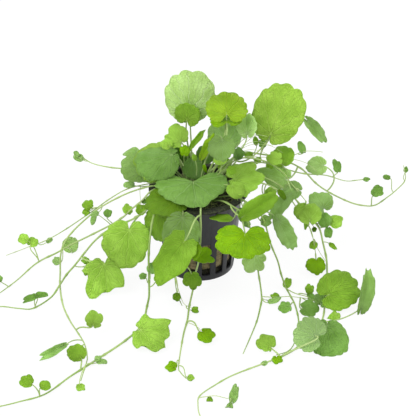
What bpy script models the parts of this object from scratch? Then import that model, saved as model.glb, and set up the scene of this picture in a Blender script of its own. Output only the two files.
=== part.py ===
"""Potted japanese cress: a black net pot, a mineral wool plug, trailing stems and round leaves.

The origin is the middle of the pot's underside, on the surface that the pot stands on. +Z is up
and the front is -Y. The planting plan is in millimetres, and everything else is in metres.
"""

import math

import bmesh
import bpy
import numpy as np
from mathutils import Matrix, Vector

MM = 0.001
GAP = 0.0003  # between two pieces that touch

# Pot, a 5 cm net pot moulded in one piece
POT_HEIGHT = 0.049
RIM_RADIUS = 0.0275
RIM_THICKNESS = 0.0014
WALL_TOP_RADIUS = 0.024
BASE_RADIUS = 0.01925
WALL = 0.0011
FLOOR = 0.0012
BASE_EDGE = 0.0008  # chamfers round the base and the rim
RIM_EDGE = 0.0004
POT_SIDES = 48
SLOTS = 16
SLOT_LOW, SLOT_HIGH = 0.0036, 0.0245
SLOT_WIDTH = 0.0046
SLOT_CUTTER_LENGTH = 0.01
FLOOR_SLOTS = 8
FLOOR_SLOT_WIDTH = 0.003
FLOOR_SLOT_INNER, FLOOR_SLOT_OUTER = 0.007, 0.016

# Plug of mineral wool, and the mat of shoot bases on it
PLUG_TOP = 0.042
PLUG_FOOT_RADIUS = 0.013
PLUG_SHOULDER = 0.008  # height at which the plug fills the pot
PLUG_EDGE = 0.001
CROWN_RADIUS = 0.014
CROWN_HEIGHT = 0.006
CROWN_RINGS = 5
SHOOT_ORIGIN = 0.067  # the shoots fan out from a point this far below the crown

# Stems and leaves
STEM_SIDES = 6
STEM_STEP = 0.006  # length of one stem segment
CURVE_STEPS = 12  # per span of the plan, before a stem is cut into even segments
LYING_GAP = 0.0004  # under a stem that lies on the surface
LEAF_POINTS = 14  # corners of a blade's outline, two of them at the stalk
BLADE = 0.0005
STALK_WIDTH = 0.0008
STALK_SEGMENTS = 6
STALK_PULL = 0.38  # share of a stalk's length that each end takes to bend
STALK_SLANT = math.radians(41)  # at which it meets the blade from below
SINUS_ANGLE = math.radians(156)  # from the tip round to the lobe beside the stalk


def clear_scene():
    for item in list(bpy.data.objects):
        bpy.data.objects.remove(item, do_unlink=True)


def finish(name, colour, roughness):
    """A plain Principled material of this colour."""
    material = bpy.data.materials.get(name)
    if material is None:
        material = bpy.data.materials.new(name)
        material.use_nodes = True
        shader = material.node_tree.nodes["Principled BSDF"]
        shader.inputs["Base Color"].default_value = (*colour, 1.0)
        shader.inputs["Roughness"].default_value = roughness
        shader.inputs["Metallic"].default_value = 0.0
    return material


def black_plastic():
    return finish("black_plastic", (0.035, 0.038, 0.042), 0.4)


def mineral_wool():
    return finish("mineral_wool", (0.24, 0.19, 0.09), 0.95)


def matted_roots():
    return finish("matted_roots", (0.10, 0.12, 0.03), 0.9)


def pale_stem():
    return finish("pale_stem", (0.42, 0.52, 0.20), 0.5)


def green_leaf():
    return finish("green_leaf", (0.22, 0.42, 0.04), 0.5)


def add_object(name, data, material):
    item = bpy.data.objects.new(name, data)
    data.materials.append(material)
    bpy.context.collection.objects.link(item)
    return item


def mesh_from(name, bm):
    mesh = bpy.data.meshes.new(name)
    bm.to_mesh(mesh)
    bm.free()
    return mesh


def face_outwards(bm):
    """Turns the faces of a closed mesh outwards."""
    bmesh.ops.recalc_face_normals(bm, faces=bm.faces)
    if bm.calc_volume(signed=True) < 0.0:
        bmesh.ops.reverse_faces(bm, faces=bm.faces)


# ---- Pot, plug and crown ----


def wall_radius(height):
    """Outer radius of the tapering wall at this height."""
    return BASE_RADIUS + (WALL_TOP_RADIUS - BASE_RADIUS) * height / POT_HEIGHT


def turned(name, profile, sides):
    """A closed solid turned about Z from an open profile of (radius, height) that starts and ends
    on the axis, listed from the bottom, up the outside and back down the inside."""
    bm = bmesh.new()
    verts = [bm.verts.new((radius, 0.0, height)) for radius, height in profile]
    edges = [bm.edges.new(pair) for pair in zip(verts, verts[1:])]
    bmesh.ops.spin(
        bm, geom=verts + edges, cent=(0, 0, 0), axis=(0, 0, 1), angle=math.tau, steps=sides, use_merge=True
    )
    bmesh.ops.remove_doubles(bm, verts=bm.verts, dist=1e-6)
    face_outwards(bm)
    return mesh_from(name, bm)


def add_box(bm, size, centre, angle):
    """A box lying along X at this centre, then turned about Z."""
    placed = Matrix.Rotation(angle, 4, "Z") @ Matrix.Translation(centre) @ Matrix.Diagonal((*size, 1.0))
    bmesh.ops.create_cube(bm, size=1.0, matrix=placed)


def slot_cutter():
    """Boxes through the wall and through the floor, in one object."""
    bm = bmesh.new()
    middle = (SLOT_LOW + SLOT_HIGH) / 2
    for number in range(SLOTS):
        angle = (number + 0.5) * math.tau / SLOTS
        size = (SLOT_CUTTER_LENGTH, SLOT_WIDTH, SLOT_HIGH - SLOT_LOW)
        add_box(bm, size, ((BASE_RADIUS + WALL_TOP_RADIUS) / 2, 0, middle), angle)
    length = FLOOR_SLOT_OUTER - FLOOR_SLOT_INNER
    for number in range(FLOOR_SLOTS):
        angle = (number + 0.5) * math.tau / FLOOR_SLOTS
        centre = (FLOOR_SLOT_INNER + length / 2, 0, FLOOR / 2)
        add_box(bm, (length, FLOOR_SLOT_WIDTH, 3 * FLOOR), centre, angle)
    cutter = bpy.data.objects.new("slot_cutter", mesh_from("slot_cutter", bm))
    cutter.hide_render = True
    cutter.display_type = "WIRE"
    bpy.context.collection.objects.link(cutter)
    return cutter


def add_pot():
    under_rim = POT_HEIGHT - RIM_THICKNESS
    profile = (
        (0.0, 0.0),
        (BASE_RADIUS - BASE_EDGE, 0.0),
        (BASE_RADIUS, BASE_EDGE),
        (wall_radius(under_rim), under_rim),
        (RIM_RADIUS - RIM_EDGE, under_rim),
        (RIM_RADIUS, under_rim + RIM_EDGE),
        (RIM_RADIUS, POT_HEIGHT - RIM_EDGE),
        (RIM_RADIUS - RIM_EDGE, POT_HEIGHT),
        (WALL_TOP_RADIUS - WALL, POT_HEIGHT),
        (BASE_RADIUS - WALL, FLOOR),
        (0.0, FLOOR),
    )
    pot = add_object("net_pot", turned("net_pot", profile, POT_SIDES), black_plastic())
    cut = pot.modifiers.new("slots", "BOOLEAN")
    cut.operation = "DIFFERENCE"
    cut.object = slot_cutter()


def add_plug():
    clear = WALL + GAP
    shoulder = PLUG_SHOULDER
    profile = (
        (0.0, FLOOR + GAP),
        (PLUG_FOOT_RADIUS, FLOOR + GAP),
        (wall_radius(shoulder) - clear, shoulder),
        (wall_radius(PLUG_TOP) - clear, PLUG_TOP - PLUG_EDGE),
        (wall_radius(PLUG_TOP) - clear - PLUG_EDGE, PLUG_TOP),
        (0.0, PLUG_TOP),
    )
    add_object("mineral_wool_plug", turned("mineral_wool_plug", profile, 32), mineral_wool())


def crown_height(x, y):
    """Height of the crown's surface above (x, y)."""
    inside = 1.0 - (x * x + y * y) / CROWN_RADIUS**2
    return PLUG_TOP + GAP + CROWN_HEIGHT * math.sqrt(max(inside, 0.0))


def add_crown():
    profile = [(0.0, PLUG_TOP + GAP), (CROWN_RADIUS, PLUG_TOP + GAP)]
    for ring in range(1, CROWN_RINGS):
        radius = CROWN_RADIUS * math.cos(math.pi / 2 * ring / CROWN_RINGS)
        profile.append((radius, crown_height(radius, 0.0)))
    profile.append((0.0, crown_height(0.0, 0.0)))
    add_object("root_crown", turned("root_crown", profile, 20), matted_roots())


# ---- Planting plan, in millimetres ----

# Each stem: its radius, where it leaves the crown (x, y), and the points that it passes through.
# A point of three numbers hangs free, and one of two lies on the surface.
STEMS = {
    "left_high": (0.40, (-9, 6), (
        (-17, 9, 52), (-27, 12, 54), (-41, 15, 52), (-52, 19, 51), (-61, 24, 51), (-68, 28, 55),
    )),
    "left_thin": (0.35, (-10, 3), (
        (-21, 2, 50.5), (-27, 1, 50.5), (-39, 5, 45), (-49, 10, 36), (-60, 14, 25), (-76, 19, 10),
        (-86, 18, 4), (-94, 17), (-101, 12), (-109, 6),
    )),
    "left_long": (0.50, (-10.5, 0), (
        (-21, -2, 50.5), (-27, -2, 50.5), (-38, 0, 45.5), (-48, 2, 39), (-56, 3, 33), (-63, 2, 27),
        (-70, -1, 21), (-75, -4, 15), (-77, -6, 8), (-77, -12), (-76, -26), (-73, -44), (-68, -59),
        (-63, -70), (-59, -80), (-57, -91), (-57, -99, 2.8), (-59, -111),
    )),
    "left_middle": (0.50, (-10, -3), (
        (-21, -6, 51), (-26, -7, 50.5), (-31, -10, 46), (-36, -11, 42), (-44, -9, 33), (-60, -5, 21),
        (-72, -1, 12), (-80, 2, 5), (-90, -1), (-100, -19), (-107, -30), (-113, -38),
    )),
    "left_low": (0.55, (-8.5, -6), (
        (-18, -11, 51), (-23, -14, 51), (-27, -17, 46), (-33, -18, 41), (-41, -17, 36), (-50, -15, 30),
        (-57, -14, 23), (-63, -14, 15), (-69, -13, 6), (-73, -16, 2.5), (-76, -27, 2.8), (-80, -38, 2),
        (-89, -47), (-96, -47), (-107, -45), (-114, -48),
    )),
    "front_left": (0.60, (-7, -8.5), (
        (-16, -16, 51), (-21, -20, 51), (-24, -25, 46), (-26, -27, 35), (-27, -29, 23), (-27, -31, 12),
        (-27, -36), (-28, -47), (-29, -58), (-32, -67), (-40, -79), (-51, -92), (-58, -100),
        (-65, -108), (-76, -122), (-88, -128), (-98, -132), (-106, -133),
    )),
    "front": (0.55, (-1, -11), (
        (1, -21, 53), (1, -27, 52), (1, -30, 48), (1, -31, 37), (0, -32, 22), (-2, -32, 13),
        (-3, -33, 5), (-5, -44), (-6, -58), (-8, -72), (-10, -98), (-9, -104), (-6, -109),
    )),
    "front_short": (0.40, (-5, -10), (
        (-9, -20, 50.8), (-11, -26, 50.3), (-12, -29, 45), (-13, -30, 30), (-13, -31, 15), (-12.5, -32, 5),
        (-11, -37), (-9, -44),
    )),
    "right_low": (0.50, (8.5, -6), (
        (18, -13, 51), (25, -18, 50.5), (31, -21, 47), (35, -22, 41), (39, -22, 26), (43, -22, 15),
        (45, -23, 7), (48, -29), (50, -36), (52, -45), (53, -60), (51, -74), (47, -85), (40, -89),
    )),
    "front_right": (0.50, (6, -9), (
        (12, -18, 51), (18, -23, 50.5), (24, -26, 47), (29, -28, 35), (31, -28, 23), (32, -29, 14),
        (33.5, -32, 5), (34, -38), (33, -46), (31, -58), (28, -70), (23, -88),
    )),
    "right_thin": (0.40, (10.5, -2), (
        (22, -1, 52), (28, -1, 53), (37, 1, 50), (44, 3, 45), (51, 4, 38), (54, 4, 33), (58, 3, 27),
        (62, 1, 21), (64, -1, 13), (65, -2, 7),
    )),
    "right_long": (0.55, (10.5, 1.5), (
        (22, 3, 53), (28, 4, 54), (37, 6, 51), (46, 8, 44), (53, 8, 37), (58, 8, 30), (63, 7, 24),
        (67, 4, 20), (69, 0, 13), (71, -4, 5), (71, -12), (70, -27), (68, -41), (66, -56), (61, -71),
        (55, -78), (48, -86), (42, -91), (34, -96), (18, -106), (9, -114), (1, -123), (0, -130),
        (1, -139), (5, -146),
    )),
    "right_back": (0.50, (7, 8.5), (
        (21, 12, 62), (35, 15, 61), (46, 18, 56), (57, 22, 48), (66, 28, 35), (75, 36, 24), (88, 49, 10),
        (97, 57, 3), (104, 61), (111, 63, 5), (117, 63, 11), (121, 62, 18), (119, 59, 29),
    )),
    "right_high": (0.40, (9.5, 5), (
        (22, 8, 58), (35, 11, 58), (47, 15, 52), (58, 20, 46), (71, 25, 42), (83, 29, 36), (93, 31, 36),
    )),
    "right_short": (0.50, (7, 4.5), (
        (20, 7, 62), (35, 8, 61), (46, 7, 54), (50, 7, 48), (55, 6, 42), (59, 5, 37),
    )),
    "back": (0.50, (-2, 10.5), (
        (-2, 19, 54), (-4, 28, 55), (-7, 36, 45), (-10, 44, 26), (-12, 54, 9), (-12, 66), (-10, 80),
        (-5, 93),
    )),
    "back_short": (0.45, (4, 10), (
        (8, 20, 54), (10, 28, 54.5), (12, 36, 45), (13, 44, 26), (14, 53, 9), (15, 64), (12, 80),
    )),
}

# The forms that a blade takes: how far its middle lies beyond the stalk, and its length beside
# the width
FORMS = {
    "kidney": (0.22, 0.85),
    "heart": (0.28, 1.0),
    "round": (0.36, 1.0),
    "oval": (0.35, 1.2),
    "narrow": (0.36, 1.7),
    "slim": (0.28, 1.85),
}

# Each leaf: what it grows from, where on it (x, y on the crown or a share of the stem's length),
# the point where the stalk meets the blade, the blade's width and form, which way its face looks
# (degrees round from the front to the right, and degrees up), how far its tip is turned from
# downhill, and how far its halves fold towards the face.
LEAVES = {
    "leaf_top_left": ("crown", (-3, 6), (-5, 20, 81), 28, "round", 0, 30, 180, 4),
    "leaf_top_middle": ("crown", (6, 2), (15, 6, 90), 23, "heart", 0, 60, 180, -4),
    "leaf_top_right": ("right_back", 0.11, (39, 12, 75), 29, "oval", 0, 28, 158, 6),
    "leaf_top_far_right": ("right_back", 0.20, (58, 17, 76), 15, "round", 68, 42, 60, 10),
    "leaf_middle_high": ("crown", (2, 5), (15.5, 10, 68), 16, "round", 5, 40, 185, 0),
    "leaf_middle_low": ("crown", (0, 3), (12, -6, 81), 13, "heart", -5, 35, 5, 0),
    "leaf_folded": ("crown", (6, 5), (26, 6, 79), 13, "heart", 0, 45, 184, 34),
    "leaf_top_far_left": ("crown", (-6, 6), (-10, 10, 72), 14, "round", -10, 40, 228, 0),
    "leaf_rim_right": ("crown", (6, -3), (18, -3, 57), 16, "round", 10, 66, 92, 4),
    "leaf_rim_front": ("crown", (-2, -4), (-3, -8, 57), 39, "kidney", 0, 86, 2, 8),
    "leaf_rim_far_left": ("crown", (-7, 3), (-30, 4, 57), 16, "heart", -15, 45, 268, 0),
    "leaf_under_left": ("crown", (-5, -7), (-10.5, -20.5, 53.5), 19, "heart", -10, 75, 280, 0),
    "leaf_hanging_left": ("front_left", 0.095, (-21, -20.2, 43), 14, "heart", -35, 8, 345, 4),
    "leaf_hanging_pale": ("front_short", 0.22, (-8.5, -31.5, 48.8), 17, "oval", 0, 12, 352, 2),
    "leaf_hanging_front": ("front", 0.16, (-9, -47, 39.6), 20, "heart", 0, 35, 340, 20),
    "leaf_pot_foot": ("front_short", 0.62, (-4, -36, 15), 9, "heart", 0, 20, 2, 0),
    "leaf_heart_left": ("left_middle", 0.15, (-37.5, -20.5, 34), 26, "heart", -5, 24, 356, 6),
    "leaf_floor_left": ("left_low", 0.50, (-50.5, -24.3, 14), 22, "heart", -5, 42, 14, 14),
    "leaf_kidney_right": ("right_low", 0.15, (24.5, -38, 42.4), 30, "kidney", 3, 74, 350, 4),
    "leaf_under_kidney": ("front_right", 0.30, (31, -31, 27), 11, "round", 0, 25, 0, 4),
    "leaf_slanting": ("front_right", 0.15, (24, -32, 52), 16, "narrow", 35, 72, 128, 14),
    "leaf_right_pointed": ("right_back", 0.34, (47, 15, 43.5), 12, "heart", -10, 40, 262, 10),
    "leaf_right_hanging": ("right_short", 0.77, (50, 2, 42), 12, "slim", -30, 20, 332, 40),
    "leaf_right_drooping": ("right_low", 0.22, (46, -18, 38), 11, "slim", 30, 15, 20, 35),
    "leaf_right_upper": ("right_long", 0.23, (69, 8, 31), 14, "heart", 10, 55, 200, 6),
    "leaf_right_lower": ("right_thin", 0.72, (61, -2, 29), 13, "heart", -10, 55, 185, 6),
    "leaf_far_right": ("right_back", 0.52, (69, 24, 49), 12, "heart", -5, 45, 275, 4),
    "leaf_right_round": ("right_high", 0.45, (46, 10, 58), 13, "round", 5, 50, 180, 6),
    "leaf_floor_bright": ("right_thin", 1.0, (65, -8.5, 6.5), 11, "heart", 0, 62, 0, 2),
    "leaf_floor_large": ("right_long", 0.48, (69, -46, 9), 24, "heart", 0, 54, 112, 4),
    "leaf_floor_pale": ("right_long", 0.55, (61, -67.5, 11), 17, "oval", 0, 57, 338, 0),
    "leaf_floor_dark": ("right_long", 0.57, (67.5, -77.5, 13.5), 24, "heart", 5, 57, 8, 6),
    "leaf_floor_upright": ("right_long", 0.50, (89.5, -51, 5.5), 16, "narrow", 72, 22, 165, 10),
    "leaf_crinkled": ("right_long", 0.71, (37, -86, 4), 10, "heart", 0, 55, 228, 8),
    "leaf_front_small": ("front", 0.65, (2, -74.4, 5), 10, "heart", 0, 75, 50, 0),
    "leaf_lobed": ("front_left", 0.50, (-30, -76.3, 7.5), 22, "heart", 0, 64, 72, 8),
    "leaf_front_left": ("front_left", 0.72, (-59.5, -99, 6.6), 10, "round", 0, 60, 215, 4),
    "leaf_back": ("back", 0.45, (0, 52, 26), 18, "heart", 165, 40, 5, 6),
    "leaf_left_small": ("left_long", 0.77, (-56, -72, 4), 9, "heart", 0, 58, 125, 8),
}


# ---- Stems ----


def smooth_route(points):
    """Points every STEM_STEP along the smooth curve (Catmull-Rom) through these points."""
    p = np.array(points, float)
    p = np.vstack([2 * p[0] - p[1], p, 2 * p[-1] - p[-2]])
    share = np.linspace(0.0, 1.0, CURVE_STEPS, endpoint=False)[:, None]
    spans = []
    for a, b, c, d in zip(p, p[1:], p[2:], p[3:]):
        spans.append(
            0.5 * (2 * b + (c - a) * share + (2 * a - 5 * b + 4 * c - d) * share**2
                   + (3 * b - a - 3 * c + d) * share**3)
        )
    fine = np.vstack([*spans, p[-2:-1]])
    along = np.r_[0.0, np.cumsum(np.linalg.norm(np.diff(fine, axis=0), axis=1))]
    even = np.linspace(0.0, along[-1], round(along[-1] / STEM_STEP) + 1)
    return np.stack([np.interp(even, along, fine[:, axis]) for axis in range(3)], axis=1)


def stem_route(radius, start, points):
    """The route in metres, from just clear of the crown."""
    x, y = (value * MM for value in start)
    route = [(x, y, crown_height(x, y) + radius + GAP)]
    for point in points:
        height = point[2] * MM if len(point) == 3 else radius + LYING_GAP
        route.append((point[0] * MM, point[1] * MM, height))
    route = smooth_route(route)
    route[:, 2] = np.maximum(route[:, 2], radius + LYING_GAP)
    return route


def add_stem(name, radius, route):
    """A round tube that thins to half its radius over its last third."""
    curve = bpy.data.curves.new(name, "CURVE")
    curve.dimensions = "3D"
    curve.bevel_depth = radius
    curve.bevel_resolution = STEM_SIDES // 2 - 2
    curve.use_fill_caps = True
    spline = curve.splines.new("POLY")
    spline.points.add(len(route) - 1)
    for number, (point, place) in enumerate(zip(spline.points, route)):
        point.co = (*place, 1.0)
        share = number / (len(route) - 1)
        point.radius = 1.0 - 0.5 * max(0.0, 3.0 * share - 2.0)
    add_object(name, curve, pale_stem())


# ---- Leaves ----


def facing(heading, lift, turn):
    """The face's normal and the directions of the tip and of the blade's right side."""
    heading, lift, turn = (math.radians(angle) for angle in (heading, lift, turn))
    outward = Vector((math.sin(heading), -math.cos(heading), 0.0))
    up = Vector((0.0, 0.0, 1.0))
    normal = math.cos(lift) * outward + math.sin(lift) * up
    downhill = math.sin(lift) * outward - math.cos(lift) * up
    tip = math.cos(turn) * downhill + math.sin(turn) * normal.cross(downhill)
    return normal, tip, tip.cross(normal)


def outline_radius(angle, middle):
    """Distance from the stalk to a unit-wide round outline, at this angle from the tip."""
    return middle * math.cos(angle) + math.sqrt(0.25 - (middle * math.sin(angle)) ** 2)


def place_corner(corner, width, form, fold):
    """Moves a corner of a unit circle to its place in the blade: x across, y to the tip, z up."""
    middle, length = FORMS[form]
    if corner.co.length < 0.5:
        corner.co = (0.0, middle * width * length, 0.0)
        return
    angle = math.atan2(corner.co.x, corner.co.y)
    last = math.pi * (1 - 1 / LEAF_POINTS)
    if abs(angle) > last - 0.01:
        corner.co = (math.copysign(STALK_WIDTH / MM / 2, angle), 0.0, 0.0)
        return
    angle *= SINUS_ANGLE / (last - math.tau / LEAF_POINTS)
    reach = outline_radius(angle, middle) * width
    across = reach * math.sin(angle)
    corner.co = (
        across * math.cos(fold), reach * math.cos(angle) * length, abs(across) * math.sin(fold)
    )


def blade_mesh(width, form, fold):
    """A thin closed blade in millimetres, with its stalk's end at the origin."""
    bm = bmesh.new()
    half_step = Matrix.Rotation(math.pi / LEAF_POINTS, 3, "Z")
    bmesh.ops.create_circle(bm, cap_ends=True, cap_tris=True, segments=LEAF_POINTS, radius=1.0)
    bmesh.ops.rotate(bm, verts=bm.verts, matrix=half_step)
    for corner in bm.verts:
        place_corner(corner, width, form, fold)
    bmesh.ops.recalc_face_normals(bm, faces=bm.faces)
    bmesh.ops.solidify(bm, geom=bm.faces[:], thickness=BLADE / MM)
    return bm


def stalk_points(base, leaving, joint, arriving):
    """Points of the stalk's bend from the blade's joint down to its base."""
    pull = STALK_PULL * (joint - base).length
    bend = (joint, joint - arriving * pull, base + leaving * pull, base)
    for number in range(1, STALK_SEGMENTS + 1):
        t = number / STALK_SEGMENTS
        weights = ((1 - t) ** 3, 3 * t * (1 - t) ** 2, 3 * t**2 * (1 - t), t**3)
        slopes = ((1 - t) ** 2, 2 * t * (1 - t), t**2)
        place = sum((w * p for w, p in zip(weights, bend)), Vector())
        run = sum((s * (q - p) for s, p, q in zip(slopes, bend, bend[1:])), Vector())
        yield place, run.normalized()


def add_stalk(bm, side, normal, points):
    """Pulls the wall at the joint out along the stalk's points."""
    end = min(bm.faces, key=lambda face: face.calc_center_median().length_squared)
    before = normal.cross(side)
    before.negate()
    for place, run in points:
        centre = end.calc_center_median()
        signs = {}
        end = bmesh.ops.extrude_discrete_faces(bm, faces=[end])["faces"][0]
        for vert in end.verts:
            offset = vert.co - centre
            signs[vert] = (math.copysign(1, offset.dot(side)), math.copysign(1, offset.dot(normal)))
        bend = before.rotation_difference(run)
        side, normal, before = bend @ side, bend @ normal, run
        for vert, (across, up) in signs.items():
            vert.co = place + side * across * STALK_WIDTH / 2 + normal * up * BLADE / 2


def leaf_base(source, where, joint, stems):
    """Where the stalk begins, just clear of what it grows from, and the way that it leaves."""
    if source == "crown":
        x, y = (value * MM for value in where)
        return Vector((x, y, crown_height(x, y) + GAP)), Vector((x, y, SHOOT_ORIGIN)).normalized()
    radius, route = stems[source]
    place = where * (len(route) - 1)
    before = min(int(place), len(route) - 2)
    here, there = Vector(route[before]), Vector(route[before + 1])
    along = (there - here).normalized()
    axis = here.lerp(there, place - before)
    leaving = joint - axis
    if where < 1.0:
        leaving -= leaving.dot(along) * along
    leaving.normalize()
    return axis + leaving * (radius + GAP), leaving


def add_leaf(name, source, where, joint, width, form, heading, lift, turn, fold, stems):
    joint = Vector(joint) * MM
    normal, tip, side = facing(heading, lift, turn)
    bm = blade_mesh(width, form, math.radians(fold))
    lie = Matrix((side, tip, normal)).transposed().to_4x4() @ Matrix.Scale(MM, 4)
    bmesh.ops.transform(bm, matrix=lie, verts=bm.verts)
    base, leaving = leaf_base(source, where, joint, stems)
    arriving = math.cos(STALK_SLANT) * tip + math.sin(STALK_SLANT) * normal
    points = [(p - joint, run) for p, run in stalk_points(base, leaving, joint, arriving)]
    add_stalk(bm, side, normal, points)
    bmesh.ops.translate(bm, vec=joint, verts=bm.verts)
    face_outwards(bm)
    add_object(name, mesh_from(name, bm), green_leaf())


def main():
    clear_scene()
    add_pot()
    add_plug()
    add_crown()
    stems = {}
    for name, (radius, start, points) in STEMS.items():
        route = stem_route(radius * MM, start, points)
        stems[name] = (radius * MM, route)
        add_stem("stem_" + name, radius * MM, route)
    for name, plan in LEAVES.items():
        add_leaf(name, *plan, stems)


main()
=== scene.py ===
from math import atan2, cos, exp, hypot, pi, radians, sin, sqrt, tau
from random import Random

import bmesh
import bpy
import numpy as np
from mathutils import Matrix, Vector, geometry, noise


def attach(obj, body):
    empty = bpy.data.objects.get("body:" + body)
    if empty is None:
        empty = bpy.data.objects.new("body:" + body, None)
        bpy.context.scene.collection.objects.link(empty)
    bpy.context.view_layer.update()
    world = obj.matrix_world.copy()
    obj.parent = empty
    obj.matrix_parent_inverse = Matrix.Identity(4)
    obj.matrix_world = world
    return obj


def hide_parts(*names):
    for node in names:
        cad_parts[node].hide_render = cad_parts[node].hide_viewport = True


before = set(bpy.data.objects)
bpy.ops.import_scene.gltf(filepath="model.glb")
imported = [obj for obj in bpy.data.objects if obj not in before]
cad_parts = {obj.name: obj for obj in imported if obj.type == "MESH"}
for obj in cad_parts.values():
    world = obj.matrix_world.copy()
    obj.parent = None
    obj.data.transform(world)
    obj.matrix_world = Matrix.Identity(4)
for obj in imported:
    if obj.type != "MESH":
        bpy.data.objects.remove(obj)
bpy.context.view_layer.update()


# ---- Table, light and camera ----
# The plant stands on a plain pale table top under soft studio light: one large lamp in front on
# the left, a weaker one on the right, one behind, and even light from all round.

TABLE_SIZE = 3.0
TABLE_SHADE = 0.9  # how much of the table's own shading is left out of the picture's white
CAMERA_TARGET = Vector((0.00495, 0.0, 0.0356))
CAMERA_DISTANCE = 0.9
CAMERA_ELEVATION = radians(31.0)
CAMERA_LENS = 141.6
LAMPS = {
    "lamp_left": ((-0.7, -0.7, 1.1), 0.9, 13.0),
    "lamp_right": ((0.9, -0.5, 0.8), 0.9, 5.0),
    "lamp_behind": ((0.1, 0.9, 0.9), 0.8, 5.0),
}
AMBIENT = 0.86
scene = bpy.context.scene


def node(tree, kind, inputs=None, **settings):
    """Adds a node. An input is a value, or the output socket that is linked to it."""
    made = tree.nodes.new("ShaderNode" + kind)
    for key, value in settings.items():
        setattr(made, key, value)
    for key, value in (inputs or {}).items():
        if isinstance(value, bpy.types.NodeSocket):
            tree.links.new(value, made.inputs[key])
        else:
            made.inputs[key].default_value = value
    return made


def maths(tree, operation, *values):
    return node(tree, "Math", dict(enumerate(values)), operation=operation).outputs[0]


def times(tree, value, factor):
    return maths(tree, "MULTIPLY", value, factor)


def new_material(name):
    material = bpy.data.materials.new(name)
    material.use_nodes = True
    material.node_tree.nodes.clear()
    return material, material.node_tree


def shown(material, shader):
    """Ends a material with this shader."""
    node(material.node_tree, "OutputMaterial", {"Surface": shader.outputs[0]})
    return material


def seen_directly(tree):
    """1 where the camera, a reflection or clear glass shows the surface, and 0 for its light."""
    path = node(tree, "LightPath").outputs
    seen = maths(tree, "ADD", path["Is Camera Ray"], path["Is Glossy Ray"])
    return maths(tree, "MINIMUM", maths(tree, "ADD", seen, path["Is Transmission Ray"]), 1.0)


def table_finish():
    material, tree = new_material("table_white")
    shaded = node(tree, "BsdfDiffuse", {"Color": (0.9, 0.9, 0.9, 1)})
    white = node(tree, "Emission", {"Color": (1, 1, 1, 1), "Strength": 1.0})
    share = times(tree, seen_directly(tree), TABLE_SHADE)
    mixed = node(tree, "MixShader", {0: share, 1: shaded.outputs[0], 2: white.outputs[0]})
    return shown(material, mixed)


def mesh_object(name, bm, *materials):
    """Closes the bmesh into a smooth-shaded object at the origin."""
    mesh = bpy.data.meshes.new(name)
    bm.to_mesh(mesh)
    bm.free()
    for material in materials:
        mesh.materials.append(material)
    mesh.shade_smooth()
    made = bpy.data.objects.new(name, mesh)
    scene.collection.objects.link(made)
    return made


bm = bmesh.new()
bmesh.ops.create_grid(bm, x_segments=1, y_segments=1, size=TABLE_SIZE / 2)
mesh_object("table", bm, table_finish())

world = scene.world = bpy.data.worlds.new("studio")
world.use_nodes = True
tree = world.node_tree
tree.nodes.clear()
level = node(tree, "MapRange", {"Value": seen_directly(tree), "To Min": AMBIENT, "To Max": 1.0})
studio = node(tree, "Background", {"Color": (1, 1, 1, 1), "Strength": level.outputs[0]})
node(tree, "OutputWorld", {"Surface": studio.outputs[0]})

for name, (place, size, power) in LAMPS.items():
    lamp = bpy.data.lights.new(name, "AREA")
    lamp.shape = "SQUARE"
    lamp.size = size
    lamp.energy = power
    holder = bpy.data.objects.new(name, lamp)
    holder.location = place
    holder.rotation_euler = (-Vector(place)).to_track_quat("-Z", "Y").to_euler()
    scene.collection.objects.link(holder)

camera = bpy.data.objects.new("camera", bpy.data.cameras.new("camera"))
camera.data.lens = CAMERA_LENS
away = Vector((0.0, -cos(CAMERA_ELEVATION), sin(CAMERA_ELEVATION)))
camera.location = CAMERA_TARGET + CAMERA_DISTANCE * away
camera.rotation_euler = (-away).to_track_quat("-Z", "Y").to_euler()
scene.collection.objects.link(camera)
scene.camera = camera
scene.view_settings.view_transform = "Standard"


# ---- Net pot ----
# A 5 cm net pot, injection moulded in one piece of black polypropylene: a plain wall with a
# rolled lip above, sixteen upright slots below, and a slotted floor. It holds the plug by taper.

POT_HEIGHT = 0.049
POT_LIP = 0.0275
POT_TOP = 0.024
POT_FOOT = 0.01925
POT_WALL = 0.0011
POT_FLOOR = 0.0012
LIP_DEPTH = 0.0014
TOUCHING = 1e-6  # points of one outline this near each other are joined
POT_STEPS = 144
SLOTS = 16
SLOT_LOW, SLOT_HIGH, SLOT_WIDTH = 0.0036, 0.0245, 0.0046
SLOT_CORNER, EDGE_ROUND = 0.0007, 0.00018
FLOOR_SLOTS = 8
FLOOR_SLOT_INNER, FLOOR_SLOT_OUTER, FLOOR_SLOT_WIDTH = 0.007, 0.016, 0.003


def pot_radius(height):
    return POT_FOOT + (POT_TOP - POT_FOOT) * height / POT_HEIGHT


def object_noise(tree, scale, detail=4.0, stretch=(1, 1, 1), roughness=0.5):
    """Noise fixed to the object, as a number around 0.5."""
    place = node(tree, "TexCoord").outputs["Object"]
    pulled = node(tree, "Mapping", {"Vector": place, "Scale": stretch}).outputs[0]
    inputs = {"Vector": pulled, "Scale": scale, "Detail": detail, "Roughness": roughness}
    return node(tree, "TexNoise", inputs).outputs[0]


def object_height(tree):
    return node(tree, "SeparateXYZ", {0: node(tree, "TexCoord").outputs["Object"]}).outputs[2]


def spread(tree, value, low, high, new_low=0.0, new_high=1.0, **settings):
    """The value's range from low to high, stretched to the new range and held there."""
    inputs = dict(enumerate((value, low, high, new_low, new_high)))
    return node(tree, "MapRange", inputs, **settings).outputs[0]


def blend(tree, share, first, second, kind="MIX"):
    inputs = {0: share, 6: first, 7: second}
    return node(tree, "Mix", inputs, data_type="RGBA", blend_type=kind).outputs[2]


def relief(tree, strength, distance, height):
    inputs = {"Strength": strength, "Distance": distance, "Height": height}
    return node(tree, "Bump", inputs).outputs[0]


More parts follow.
